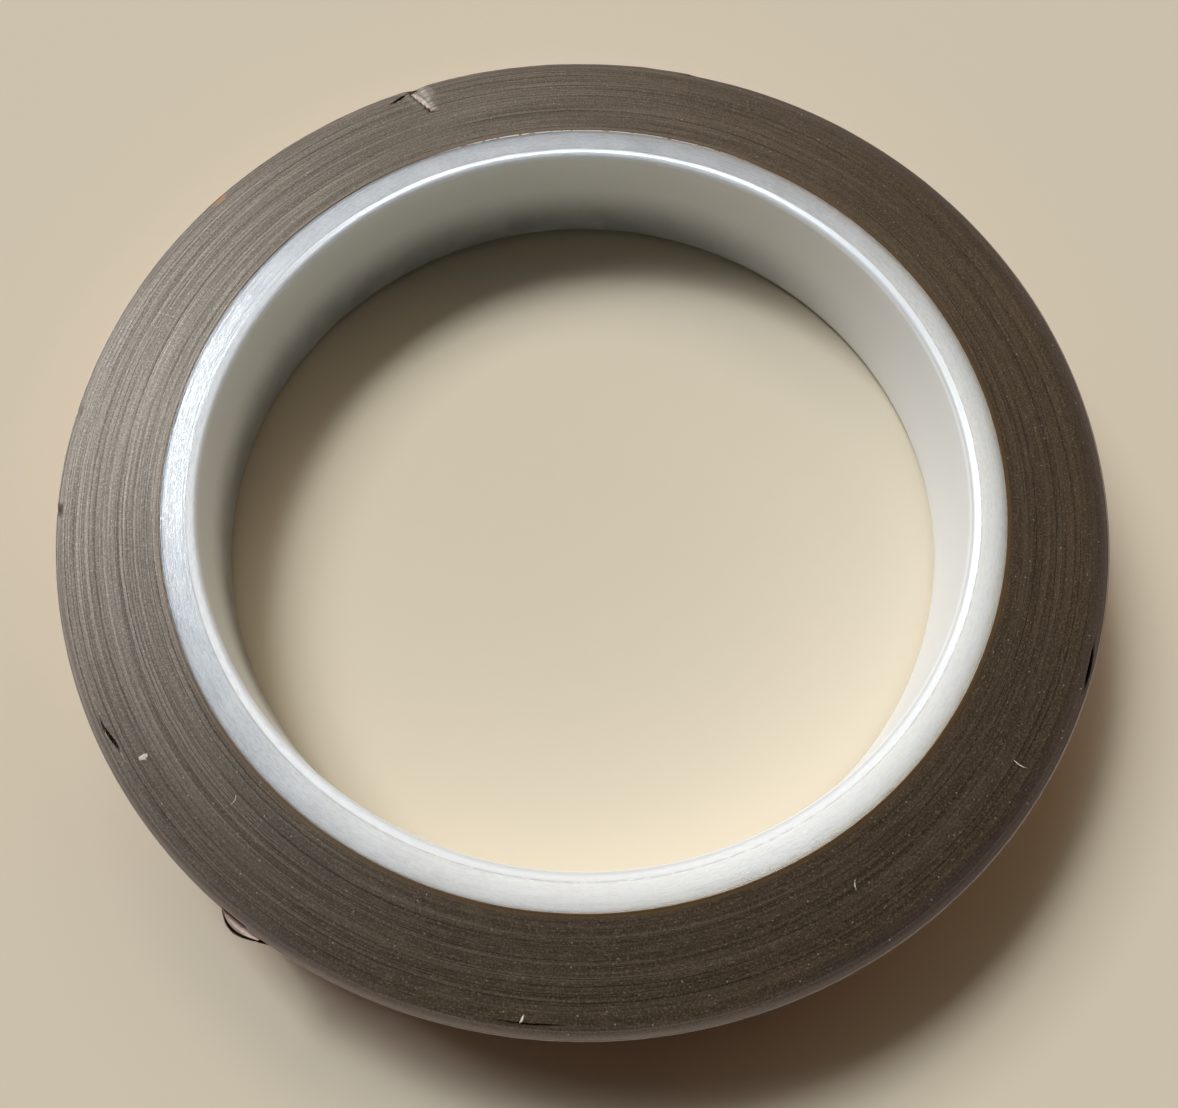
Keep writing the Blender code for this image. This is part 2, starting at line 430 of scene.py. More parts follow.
    # The pack's outer wall is the foil of the turn under the lifted end.
    wall = remap(radius, outside - 0.06, outside - 0.02)
    wall = times(minus(1.0, slit_mask(shader)), wall)
    foil = remap(rolled_lines(shader, polar), 0.35, 0.65)
    foil = mix(foil, (0.84, 0.45, 0.30), (0.74, 0.38, 0.25))
    return shader.finish(
        Base_Color=mix(wall, colour, foil),
        Metallic=wall,
        Roughness=minus(rough, times(wall, 0.06)),
        Specular_IOR_Level=shine,
        Specular_Tint=(1.0, 0.88, 0.75),
        Normal=shader.bump(height, 0.25, 0.02 * MM),
    )


def core_material():
    """Natural translucent plastic with turned marks on its ends, painted shade away from the window and a
    painted highlight on its rounded inner edge.
    """
    shader = Shader("core_plastic")
    polar = polar_sockets(shader)
    mix, remap, times, plus, minus = shader.mix, shader.remap, shader.times, shader.plus, shader.minus
    radius, height = polar["radius"], polar["z"]
    marks = ring_texture(shader, polar, 4.0, 6.5, rough=0.6)
    broken = ring_texture(shader, polar, 60.0, 7.0, detail=2.0)
    scuffs = ring_texture(shader, polar, 34.0, 4.0, 4.0, 4.0, 0.7)
    smear = shader.noise(polar["position"], 260.0, 4.0)
    grain = shader.noise(polar["position"], FINE_GRAIN, 2.0)
    on_end = remap(height, TOP / MM - 0.55, TOP / MM - 0.25)
    edge = times(on_end, remap(radius, 39.04, 38.98))
    flat = minus(on_end, edge)
    # How far a place lies towards the side whose bore wall faces the window, in mm. The end and bore wall
    # colours below are painted darker and greyer on the other side: painted shade where no light comes up
    # through the plastic.
    sunny = minus(times(polar["x"], 0.80), times(polar["y"], 0.60))
    end_colour = mix(remap(sunny, -22.0, 50.0), (0.33, 0.35, 0.38), (0.89, 0.82, 0.73))
    wall_colour = mix(remap(sunny, -42.0, 30.0), (0.80, 0.83, 0.81), (0.98, 0.98, 0.99))
    # Painted shade: the bore wall's foot is painted dark on that other side, where little light reaches.
    foot = times(remap(height, 9.5, 2.0), remap(sunny, 20.0, -25.0, 0.0, 0.80))
    wall_colour = mix(foot, wall_colour, (0.14, 0.135, 0.115))
    # Painted highlight on the rounded bore edge: bluish white away from the window, grey on the window
    # side.
    edge_highlight = mix(remap(sunny, -14.0, 26.0), (0.82, 0.86, 0.91), (0.60, 0.60, 0.60))
    # Painted glow: the amber film's light showing through the outer border is painted on the side that is
    # lit from inside.
    amber_glow = times(remap(radius, 40.6, 41.5), remap(polar["x"], -15.0, 30.0))
    from_arris = shader.math("ABSOLUTE", minus(radius, 39.05))
    arris = times(on_end, remap(from_arris, 0.09, 0.03))
    arris = times(arris, remap(scuffs, 0.42, 0.52))
    colour = mix(on_end, wall_colour, end_colour)
    for share, tint in (
        (remap(smear, 0.35, 0.7, 0.0, 0.12), (0.93, 0.93, 0.92)),
        (times(edge, remap(scuffs, 0.3, 0.6, 0.7, 1.0)), edge_highlight),
        (times(amber_glow, 0.8), (0.92, 0.70, 0.50)),
        (times(arris, 0.6), (0.40, 0.41, 0.43)),
    ):
        colour = mix(share, colour, tint)
    wall_rough = 0.42
    flat_rough = remap(broken, 0.3, 0.7, 0.20, 0.32)
    flat_rough = plus(flat_rough, remap(marks, 0.45, 0.7, 0.0, 0.10))
    relief = times(plus(marks, times(broken, 0.6)), flat)
    relief = plus(relief, times(grain, 0.25))
    relief = plus(relief, times(scuffs, edge))
    return shader.finish(
        Base_Color=colour,
        Roughness=plus(wall_rough, times(flat, minus(flat_rough, wall_rough))),
        Normal=shader.bump(relief, 0.45, 0.05 * MM),
        IOR=1.55,
        Specular_IOR_Level=0.62,
        Subsurface_Weight=minus(remap(on_end, 0.0, 1.0, 0.15, 1.0), times(edge, 0.6)),
        Subsurface_Radius=(1.0, 0.94, 0.84),
        Subsurface_Scale=14.0 * MM,
        Coat_Weight=times(edge, remap(sunny, 14.0, -14.0, 0.15, 1.0)),
        Coat_IOR=1.75,
        Coat_Roughness=0.15,
    )


def copper_material():
    """Rolled copper foil: fine lines along the tape, light tarnish, and dark slit edges."""
    shader = Shader("copper_foil")
    polar = polar_sockets(shader)
    lines = rolled_lines(shader, polar)
    tarnish = shader.noise(polar["position"], 110.0, 6.0, 0.65)
    spots = shader.noise(polar["position"], 900.0, 3.0)
    colour = shader.mix(shader.remap(tarnish, 0.40, 0.72), (0.86, 0.46, 0.30), (0.72, 0.36, 0.23))
    colour = shader.mix(shader.remap(spots, 0.66, 0.78, 0.0, 0.45), colour, (0.42, 0.20, 0.12))
    colour = shader.mix(shader.remap(lines, 0.45, 0.75, 0.0, 0.30), colour, (0.92, 0.60, 0.44))
    slit = slit_mask(shader)
    slit_colour = shader.mix(shader.remap(spots, 0.3, 0.6), (0.10, 0.078, 0.064), (0.20, 0.162, 0.138))
    colour = shader.mix(slit, colour, slit_colour)
    runs = shader.remap(shader.noise(polar["position"], 1500.0, 4.0, 0.6), 0.30, 0.70, -0.9, 0.9)
    near_edge = shader.remap(shader.plus(polar["z"], runs), TOP / MM - 1.0, TOP / MM - 0.2)
    stained = shader.times(spot(shader, polar, AMBER_STAIN), near_edge)
    colour = shader.mix(stained, colour, AMBER)
    rough = shader.remap(tarnish, 0.3, 0.7, 0.22, 0.36)
    rough = shader.plus(rough, shader.remap(lines, 0.3, 0.7, -0.05, 0.10))
    rough = shader.plus(rough, shader.times(slit, 0.10))
    waves = ring_texture(shader, polar, 9.0, 0.0, 0.12)
    height = shader.plus(shader.times(lines, 0.2), waves)
    return shader.finish(
        Base_Color=colour,
        Roughness=rough,
        Metallic=shader.minus(1.0, slit),
        Normal=shader.bump(height, 0.5, 0.1 * MM),
    )


def adhesive_material():
    """Amber pressure-sensitive adhesive, slightly cloudy, dusty along its slit edges."""
    shader = Shader("amber_adhesive")
    polar = polar_sockets(shader)
    cloud = shader.noise(polar["position"], 1400.0, 3.0)
    colour = shader.mix(shader.remap(cloud, 0.35, 0.65), (0.42, 0.19, 0.065), (0.30, 0.12, 0.04))
    colour = shader.mix(slit_mask(shader), colour, FRAYED)
    return shader.finish(
        Base_Color=colour,
        Roughness=shader.remap(cloud, 0.3, 0.7, 0.18, 0.34),
        Normal=shader.bump(cloud, 0.2, 0.02 * MM),
        Subsurface_Weight=0.35,
        Subsurface_Radius=(1.0, 0.45, 0.15),
        Subsurface_Scale=0.4 * MM,
    )


def film_material():
    """The start film's squeezed-out bead: amber, drying to a pale crust at the back of the roll."""
    shader = Shader("start_film")
    polar = polar_sockets(shader)
    lumps = ring_texture(shader, polar, 60.0, 3.0)
    amber = shader.mix(shader.remap(lumps, 0.35, 0.65), (0.17, 0.085, 0.030), (0.090, 0.048, 0.022))
    back = shader.remap(polar["y"], 36.5, 40.0)
    crust = shader.times(back, shader.remap(lumps, 0.38, 0.46))
    colour = shader.mix(crust, amber, (0.70, 0.60, 0.58))
    return shader.finish(
        Base_Color=colour,
        Roughness=shader.remap(lumps, 0.3, 0.7, 0.25, 0.5),
        Normal=shader.bump(lumps, 0.3, 0.03 * MM),
        Subsurface_Weight=0.3,
        Subsurface_Radius=(1.0, 0.5, 0.2),
        Subsurface_Scale=0.4 * MM,
    )


def liner_material():
    """Release paper: pale, faintly fibrous, with a soft silicone sheen and dark slit edges."""
    shader = Shader("paper_liner")
    polar = polar_sockets(shader)
    fibres = shader.noise(polar["position"], 3000.0, 4.0, 0.7)
    stain = shader.noise(polar["position"], 300.0, 3.0)
    colour = shader.mix(shader.remap(fibres, 0.35, 0.65), (0.62, 0.53, 0.48), (0.78, 0.69, 0.65))
    colour = shader.mix(shader.remap(stain, 0.55, 0.75, 0.0, 0.35), colour, (0.50, 0.36, 0.25))
    colour = shader.mix(slit_mask(shader), colour, FRAYED)
    rough = shader.remap(fibres, 0.3, 0.7, 0.34, 0.5)
    return shader.finish(Base_Color=colour, Roughness=rough, Normal=shader.bump(fibres, 0.25, 0.02 * MM))


def fleck_material():
    """Dry pale debris stuck to the tape's side."""
    shader = Shader("pale_fleck")
    speckle = shader.noise(shader.position(), 6000.0, 3.0)
    colour = shader.mix(shader.remap(speckle, 0.35, 0.65), (0.46, 0.37, 0.29), (0.74, 0.68, 0.60))
    return shader.finish(Base_Color=colour, Roughness=0.75, Normal=shader.bump(speckle, 0.3, 0.03 * MM))


# ---------------- the core


CORE_STEPS = 360
BORE_ROUND = 0.9 * MM
OUTER_BREAK = 0.2 * MM
# The rounded bore edge starts with a nearly flat band that slopes this much over this width.
BAND_WIDTH = 0.44 * MM
BAND_SLOPE = math.tan(math.radians(17.0))
# Width of the narrow faces beside the arris that keep it crisp.
ARRIS_WIDTH = 0.02 * MM
# The turned end lies this far below the roll's top, so that the burr stands up from it.
END_RECESS = 0.020 * MM


def arc(centre_radius, centre_height, radius, start, steps):
    """Profile points of a quarter circle, turning clockwise, with both its ends."""
    angles = start - 0.5 * math.pi * np.arange(steps + 1) / steps
    radii, heights = centre_radius + radius * np.cos(angles), centre_height + radius * np.sin(angles)
    return np.stack([radii, heights], axis=1)


def line(first, last, steps):
    """Profile points strictly between two ends."""
    share = np.arange(1, steps) / steps
    return np.array(first) + (np.array(last) - np.array(first)) * share[:, None]


def bore_edge(steps):
    """The rounded upper bore edge, from the wall up to the arris: a bend, then the sloping band."""
    bore = BORE_RADIUS + BORE_ROUND
    band = np.array((bore - BAND_WIDTH, TOP - BAND_WIDTH * BAND_SLOPE))
    corner = np.array((BORE_RADIUS, band[1] - (band[0] - BORE_RADIUS) * BAND_SLOPE))
    wall = np.array((BORE_RADIUS, TOP - BORE_ROUND))
    share = (np.arange(steps + 1) / steps)[:, None]
    bend = wall * (1.0 - share) ** 2 + corner * 2.0 * share * (1.0 - share) + band * share ** 2
    arris = np.array((bore, TOP))
    support = arris + np.array((-1.0, -BAND_SLOPE)) * ARRIS_WIDTH
    flat_support = arris + np.array((ARRIS_WIDTH, 0.0))
    return np.concatenate([bend, line(band, support, 5), [support, arris, flat_support]])


def core_profile():
    """The core's closed section, clockwise from its broken outer edge at the top."""
    wall, bore = CORE_RADIUS - OUTER_BREAK, BORE_RADIUS + BORE_ROUND
    high, low = TOP - BORE_ROUND, BORE_ROUND
    return np.concatenate([
        arc(wall, TOP - OUTER_BREAK, OUTER_BREAK, 0.5 * math.pi, 4),
        line((CORE_RADIUS, TOP - OUTER_BREAK), (CORE_RADIUS, OUTER_BREAK), 6),
        arc(wall, OUTER_BREAK, OUTER_BREAK, 0.0, 4),
        line((wall, 0.0), (bore, 0.0), 12),
        arc(bore, low, BORE_ROUND, -0.5 * math.pi, 8),
        line((BORE_RADIUS, low), (BORE_RADIUS, high), 12),
        bore_edge(8),
        line((bore + ARRIS_WIDTH, TOP), (wall, TOP), 36),
    ])


def core_piece(material):
    """The core, with fine turned rings on its ends and a thin burr where the flat meets the bore."""
    profile = core_profile()[::-1]
    angles = TURN * np.arange(CORE_STEPS) / CORE_STEPS
    radii = np.repeat(profile[:, :1], CORE_STEPS, axis=1)
    heights = np.repeat(profile[:, 1:], CORE_STEPS, axis=1)
    bore = BORE_RADIUS + BORE_ROUND
    flat = (radii > bore + ARRIS_WIDTH) & (radii < CORE_RADIUS - OUTER_BREAK - ARRIS_WIDTH)
    side = np.where(heights > 0.5 * TOP, 1.0, -1.0)
    ring = noise(radii / (0.13 * MM) + 0.8 * ring_noise(angles, 5, 17), 11) * 0.006 * MM
    ring += noise(radii / (0.4 * MM) + 2.0 * ring_noise(angles, 7, 12), 13) * 0.006 * MM
    heights -= side * flat * (END_RECESS + ring)
    burr = bump_at(radii, bore + 0.03 * MM, 0.09 * MM) * (heights > 0.5 * TOP)
    ragged = 0.010 + 0.012 * ring_noise(angles, 90, 14) + 0.010 * ring_noise(angles, 23, 15)
    heights += burr * np.clip(ragged, 0, 1) * MM
    on_bore = radii < bore - 0.5 * MM
    radii += on_bore * 0.03 * MM * (1.0 + ring_noise(angles, 9, 16)) * 0.5
    points = polar_points(radii, angles[None, :], heights).reshape(-1, 3)
    faces = grid_faces(len(profile), CORE_STEPS)
    return make_piece("core_ring", points, faces, material, CORE_SHARP_ANGLE)


# ---------------- the start film


FILM_STEPS = 360
# The bead's inner edge stands this far off the core's broken edge.
BEAD_GAP = 0.012 * MM
# The film ends this far above the roll's bottom face.
FILM_FOOT = 0.02 * MM


def film_piece(material):
    """The amber film between core and tape, squeezed up into the core's broken edge."""
    angles = TURN * np.arange(FILM_STEPS) / FILM_STEPS
    squeeze = 0.62 + 0.25 * ring_noise(angles, 11, 21) + 0.13 * ring_noise(angles, 70, 22)
    degrees = np.degrees(angles)
    squeeze += 0.8 * bump_at(degrees, 100.0, 32.0) - 0.35 * bump_at(degrees, 110.0, 90.0)
    fullness = np.clip(squeeze, 0.05, 1.0)
    bead_top = TOP - (0.10 - 0.08 * fullness) * MM
    centre = CORE_RADIUS - OUTER_BREAK
    rise = np.clip(bead_top - (TOP - OUTER_BREAK), 0.0, OUTER_BREAK)
    reach = centre + np.sqrt(np.maximum(OUTER_BREAK ** 2 - rise ** 2, 0.0)) + BEAD_GAP
    reach = np.minimum(reach, FILM_INSIDE)
    foot = np.full_like(angles, TOP - OUTER_BREAK)
    low = np.full_like(angles, FILM_FOOT)
    inside, outside = np.full_like(angles, FILM_INSIDE), np.full_like(angles, FILM_OUTSIDE)
    rows = [
        (outside, bead_top - 0.01 * MM),
        (outside, low),
        (inside, low),
        (inside, foot),
        (reach, bead_top - 0.004 * MM),
        (0.5 * (reach + outside), bead_top + 0.006 * MM),
    ]
    points = np.concatenate([polar_points(radius, angles, height) for radius, height in rows[::-1]])
    return make_piece("start_film", points, grid_faces(len(rows), FILM_STEPS), material)


# ---------------- the wound pack


PACK_COLUMNS = 264
# Places on the top side that need finer columns: angle and half width in degrees, how much finer.
FINE_PLACES = (
    (114.6, 4.5, 5.0),
    (213.7, 3.0, 2.5),
    (267.0, 4.0, 2.5),
    (340.5, 7.0, 1.2),
    (187.0, 1.5, 3.0),
    (174.8, 1.5, 3.0),
    (60.5, 2.5, 1.5),
)
BOTTOM_ROWS_PER_TURN = 1
TOP_ROWS_PER_TURN = 2
SIDE_RELIEF = 0.032 * MM

# The turns that have parted: each slit's first and last end, as an angle in degrees and a radius in
# mm, then its width and depth in mm.
SLITS = (
    ((212.2, 50.36), (215.2, 49.92), 0.10, 0.5),
    ((263.6, 50.27), (269.4, 50.20), 0.05, 0.30),
    ((335.5, 51.00), (340.4, 50.78), 0.19, 0.6),
    ((115.3, 50.85), (117.2, 50.35), 0.14, 0.5),
)
# Notches in the rim: angle in degrees, half width in mm on the pack and in degrees on the outermost
# turn, and depth in mm.
NICKS = (
    (187.0, 0.35, 0.4, 0.22),
    (174.8, 0.30, 0.35, 0.16),
)
# The knock's crack: its angle at the rim, how far it turns back and how far it runs inward.
CRACK_DEGREES = 114.75
CRACK_DRIFT = 1.85
CRACK_LENGTH = 3.9 * MM


def pack_angles():
    """Angles of the pack's columns, in turns from the peel line, closer together at damage."""
    share = np.linspace(0.0, 1.0, 7201)
    degrees = (share * 360.0 + math.degrees(PEEL_ANGLE)) % 360.0
    density = np.ones_like(share)
    for centre, half_width, finer in FINE_PLACES:
        density += finer * bump_at(degrees, centre, half_width)
    passed = np.concatenate([[0.0], np.cumsum(0.5 * (density[1:] + density[:-1]))])
    wanted = np.arange(PACK_COLUMNS) / PACK_COLUMNS * passed[-1]
    return np.interp(wanted, passed, share)


def edge_height(strip, seed):
    """Height of the tape's slit edge, 0 or less, below the side's top; strip is in turns."""
    height = 0.0015 * noise(strip * 8.3, seed) + 0.0025 * noise(strip * 2.9, seed + 1)
    height += 0.007 * noise(strip / 2.7, seed + 2) + 0.012 * noise(strip / 9.0, seed + 3)
    return height * MM - SIDE_RELIEF


def spiral_side(shares, rows_per_turn, seed):
    """A wound side as rows that follow the spiral between the inner and the outer circle.

    Returns radii, angles, depths (0 or less), faces and the table of point numbers that they use.
    Rows that leave the pack end on its circles, so both borders are round.
    """
    columns = len(shares)
    angles = PEEL_ANGLE + TURN * shares
    last = rows_per_turn * (TURNS + 1)
    phase = np.arange(last + 1)[:, None] / rows_per_turn - 1.0 + shares[None, :]
    inside, outside = phase <= 1e-9, phase >= TURNS - 1e-9
    phase = np.clip(phase, 0.0, TURNS)
    number = np.arange(phase.size).reshape(phase.shape)
    first_outside = np.argmax(outside, axis=0)
    number = np.where(inside, np.arange(columns), number)
    number = np.where(outside, first_outside * columns + np.arange(columns), number)
    depth = edge_height(phase, seed)
    # With more than one row to a turn, a groove runs between the turns.
    if rows_per_turn > 1:
        between = (np.arange(last + 1)[:, None] % rows_per_turn == 0) & ~inside & ~outside
        groove = (0.0022 + 0.0018 * noise(phase * 3.0, seed + 5)) * MM
        depth = np.where(between, depth - groove, depth)
    faces = []
    for column in range(columns):
        after = (column + 1) % columns
        shift = rows_per_turn if after == 0 else 0
        for row in range(last):
            ring = [
                number[row, column],
                number[row + 1, column],
                number[min(row + 1 + shift, last), after],
                number[min(row + shift, last), after],
            ]
            corners = list(dict.fromkeys(int(point) for point in ring))
            if len(corners) > 2:
                faces.append(tuple(corners))
    radii = PACK_INSIDE + PITCH * phase
    return radii, np.broadcast_to(angles, radii.shape), depth, faces, number


def rim_wear(radii, angles):
    """The outer turns bent down a little, more in some places than others."""
    degrees = np.degrees(angles) % 360.0
    ragged = bump_at(degrees, 88.0, 32.0)
    bent = 0.018 + 0.014 * ring_noise(angles, 13, 31) + 0.012 * ring_noise(angles, 47, 32)
    bent = bent + ragged * 0.24 * smooth_step(ring_noise(angles, 30, 34) / 0.16 + 0.5)
    bent = bent + ragged * (0.05 + 0.05 * ring_noise(angles, 150, 35))
    width = (0.55 + 0.25 * ring_noise(angles, 9, 33)) * MM
    return -np.clip(bent, 0.0, 1.0) * MM * smooth_step((radii - PACK_OUTSIDE + width) / width) ** 1.5


def open_slit(radii, angles, heights, first, last, width, depth):
    """Parts the turns along a line from first to last, each (degrees, radius in mm)."""
    degrees = np.degrees(angles) % 360.0
    share = (degrees - first[0]) / (last[0] - first[0])
    middle = (first[1] + (last[1] - first[1]) * share) * MM
    opening = np.sqrt(np.clip(np.sin(math.pi * np.clip(share, 0.0, 1.0)), 0.0, 1.0))
    across = radii - middle
    floor = np.abs(across) < 0.055 * MM
    push = np.sign(across) * 0.5 * width * opening * np.exp(-np.abs(across) / (0.35 * MM))
    radii = np.where(floor, middle + across * (1.0 + opening), radii + push)
    heights = np.where(floor, heights - depth * opening, heights)
    return radii, heights


def crush_rim(radii, angles, heights):
    """The knocked edge: a crack runs inward from the rim, and the turns beside it are crushed."""
    degrees = np.degrees(angles) % 360.0
    inward = np.clip((PACK_OUTSIDE - radii) / CRACK_LENGTH, 0.0, 1.0)
    crack = CRACK_DEGREES - CRACK_DRIFT * inward
    # Distance from the crack in mm, positive on the crushed side.
    away = (crack - degrees) * math.pi / 180.0 * radii / MM
    reach = 1.9 - 1.4 * inward
    crushed = np.where(away > 0.0, smooth_step(1.0 - away / reach), smooth_step(1.0 + away / 0.12))
    depth = (0.42 - 0.30 * inward) * (inward < 1.0) * MM
    lifted = bump_at(away, -0.45, 0.6) * (1.0 - inward) * 0.05 * MM
    pushed = crushed * (1.0 - inward) ** 2 * 0.22 * MM * (away > 0.0)
    return radii - pushed, heights - depth * crushed + lifted


def nick(radii, angles, heights, degrees, width, depth):
    """Heights with a small notch in the rim."""
    along = (np.degrees(angles) % 360.0 - degrees) * math.pi / 180.0 * radii
    edge = smooth_step((radii - PACK_OUTSIDE + 0.5 * MM) / (0.5 * MM))
    return heights - depth * bump_at(along, 0.0, width) * edge


def weather_top(radii, angles, heights):
    """All the damage that the upper side shows."""
    heights = heights + rim_wear(radii, angles)
    for first, last, width, depth in SLITS:
        radii, heights = open_slit(radii, angles, heights, first, last, width * MM, depth * MM)
    radii, heights = crush_rim(radii, angles, heights)
    for degrees, width, _, depth in NICKS:
        heights = nick(radii, angles, heights, degrees, width * MM, depth * MM)
    return radii, heights


def pack_piece(material):
    """The wound turns: both sides carry the spiral, and two round walls join them."""
    shares = pack_angles()
    radii, angles, depth, top_faces, top_number = spiral_side(shares, TOP_ROWS_PER_TURN, 41)
    radii, heights = weather_top(radii, angles, TOP + depth)
    top_points = polar_points(radii, angles, heights).reshape(-1, 3)
    radii, angles, depth, low_faces, low_number = spiral_side(shares, BOTTOM_ROWS_PER_TURN, 71)
    low_points = polar_points(radii, angles, -depth - SIDE_RELIEF * 0.2).reshape(-1, 3)
    offset = len(top_points)
    faces = list(top_faces)
    faces += [tuple(offset + point for point in reversed(face)) for face in low_faces]
    for column in range(len(shares)):
        pair = [column, (column + 1) % len(shares)]
        # The inner wall joins the first rows, and the outer wall, facing the other way, the last.
        for row, (here, there) in ((0, pair), (-1, pair[::-1])):
            upper = [int(top_number[row, here]), int(top_number[row, there])]
            lower = [offset + int(low_number[row, there]), offset + int(low_number[row, here])]
            faces.append((*upper, *lower))
    points = np.concatenate([top_points, low_points])
    return compact_piece("wound_pack", points, faces, material)


def compact_piece(name, points, faces, material):
    """Makes a piece from only the points that its faces use."""
    used = sorted({point for face in faces for point in face})
    renumbered = {point: index for index, point in enumerate(used)}
    faces = [tuple(renumbered[point] for point in face) for face in faces]
    return make_piece(name, points[used], faces, material)


# ---------------- the outermost turn


TURN_COLUMNS = 600
WALL_ROWS = 10
# The outermost turn starts this far beyond the peel line, under the lifted end.
TURN_OPENING = math.radians(3.0)


def ply_wall(inside, outside, edge_seed, dip):
    """Sections of one ply of the outermost turn, a closed strip with slightly uneven edges."""
    angles = np.linspace(PEEL_ANGLE + TURN_OPENING, PEEL_ANGLE + TURN, TURN_COLUMNS)
    uneven = 0.020 + 0.014 * noise(angles * 9.0, edge_seed) + 0.010 * noise(angles * 41.0, edge_seed + 1)
    uneven = np.clip(uneven, 0.0, 1.0) * MM
    degrees = np.degrees(angles) % 360.0
    knocked = dip * bump_at(degrees, 113.9, 1.6)
    for place, _, half_width, depth in NICKS:
        knocked += depth * MM * bump_at(degrees, place, half_width)
    top = TOP - uneven - knocked - rim_drop(angles)
    bottom = 0.02 * MM + 0.012 * MM * (1.0 + noise(angles * 11.0, edge_seed + 2))
    share = np.linspace(0.0, 1.0, WALL_ROWS)
    outer = [(outside, bottom + (top - bottom) * s) for s in share]
    inner = [(inside, bottom + (top - bottom) * s) for s in share[::-1]]
    rows = [polar_points(np.full(TURN_COLUMNS, radius), angles, height) for radius, height in outer + inner]
    return np.stack(rows, axis=1)


def rim_drop(angles):
    """The outermost turn's upper edge follows the bent-down rim beside it."""
    return -rim_wear(np.full_like(angles, PACK_OUTSIDE), angles) * 0.9


def outer_turn_pieces(materials):
    """The three plies of the outermost turn, each with its CAD node and body."""
    plies = (
        ("foil_last_turn", "outer_turn_foil", "copper", 0.30 * MM, 51),
        ("adhesive_last_turn", "outer_turn_adhesive", "adhesive", 0.34 * MM, 54),
        ("liner_last_turn", "outer_turn_liner", "liner", 0.32 * MM, 57),
    )
    pieces = []
    for name, node, material, dip, seed in plies:
        piece = strip_piece(name, ply_wall(*node_radii(node), seed, dip), materials[material])
        pieces.append((piece, node, "outer_turn"))
    return pieces


# ---------------- the lifted end


TAIL_COLUMNS = 56
# The distance in which the arch would come back to the roll, and its crown's lean to the peel line.
ARCH_SPAN = 5.2 * MM
ARCH_SKEW = 0.42
# Heights of the rows of points, as shares of the tape's width; they crowd together at the upper edge.
TAIL_ROWS = (0.0, 0.15, 0.35, 0.55, 0.70, 0.80, 0.87, 0.91, 0.94, 0.96, 0.975, 0.99, 1.0)


def arch(distance, rise):
    """Height of a ply of the lifted end above the roll, at a distance from the peel line."""
    share = distance / ARCH_SPAN
    return rise * np.sin(math.pi * (share + ARCH_SKEW * share * (1.0 - share)))


def tail_section(inside, outside, rise, seed, sag):
    """Closed strip that follows the arch; below its upper edge it sags towards the roll."""
    reach = (TAIL_END - PEEL_ANGLE) * ROLL_RADIUS
    start = (TAIL_START - PEEL_ANGLE) * ROLL_RADIUS
    distance = np.linspace(start, reach, TAIL_COLUMNS)
    angles = PEEL_ANGLE + distance / ROLL_RADIUS
    top = TOP - (0.03 + 0.012 * noise(distance / (0.5 * MM), seed)) * MM
    bottom = 0.03 * MM + 0.01 * MM * noise(distance / (0.6 * MM), seed + 1)
    outer, inner = [], []
    for share in TAIL_ROWS:
        drop = (1.0 - share) * TOP
        hold = 1.0 - sag * (1.0 - math.exp(-drop / (0.55 * MM)))
        radius = outside + arch(distance, rise) * hold
        path = np.stack([radius * np.cos(angles), radius * np.sin(angles)], axis=1)
        along = np.gradient(path, axis=0)
        along /= np.hypot(along[:, 0], along[:, 1])[:, None]
        normal = np.stack([along[:, 1], -along[:, 0]], axis=1)
        height = bottom + (top - bottom) * share
        outer.append(np.column_stack([path, height]))
        inner.append(np.column_stack([path - normal * (outside - inside), height]))
    return np.stack(outer + inner[::-1], axis=1)


def tail_pieces(materials):
    """The three plies of the lifted end, each with its CAD node and body."""
    foil_rise = node_radii("tail_foil")[1] - ROLL_RADIUS
    liner_rise = node_radii("tail_liner")[1] - node_radii("outer_turn_liner")[1]
    plies = (
        ("foil_lifted_end", "foil", "copper", foil_rise, 61, "tail_tape", 0.0),
        ("adhesive_lifted_end", "adhesive", "adhesive", foil_rise, 63, "tail_tape", 0.0),
        ("liner_lifted_end", "liner", "liner", liner_rise, 65, "tail_backing", 0.8),
    )
    pieces = []
    for name, ply, material, rise, seed, body, sag in plies:
        section = tail_section(*node_radii("outer_turn_" + ply), rise, seed, sag)
        piece = strip_piece(name, section, materials[material])
        pieces.append((piece, "tail_" + ply, body))
    return pieces


# ---------------- debris


# Chips and fibres on the upper side: angle in degrees, radius in mm, direction in degrees, then
# half length, half width and bend in mm.
DEBRIS = (
    (217.4, 48.5, 30.0, 0.38, 0.27, 0.05),
    (324.5, 48.6, -32.0, 0.75, 0.055, 0.22),
    (265.5, 49.92, 66.0, 0.36, 0.09, 0.05),
    (301.9, 45.6, 95.0, 0.45, 0.05, -0.10),
    (227.8, 44.5, 70.0, 0.40, 0.05, 0.12),
)
DEBRIS_CORNERS = 14
DEBRIS_LAYERS = ((1.0, -0.07), (1.0, -0.02), (0.62, 0.02))


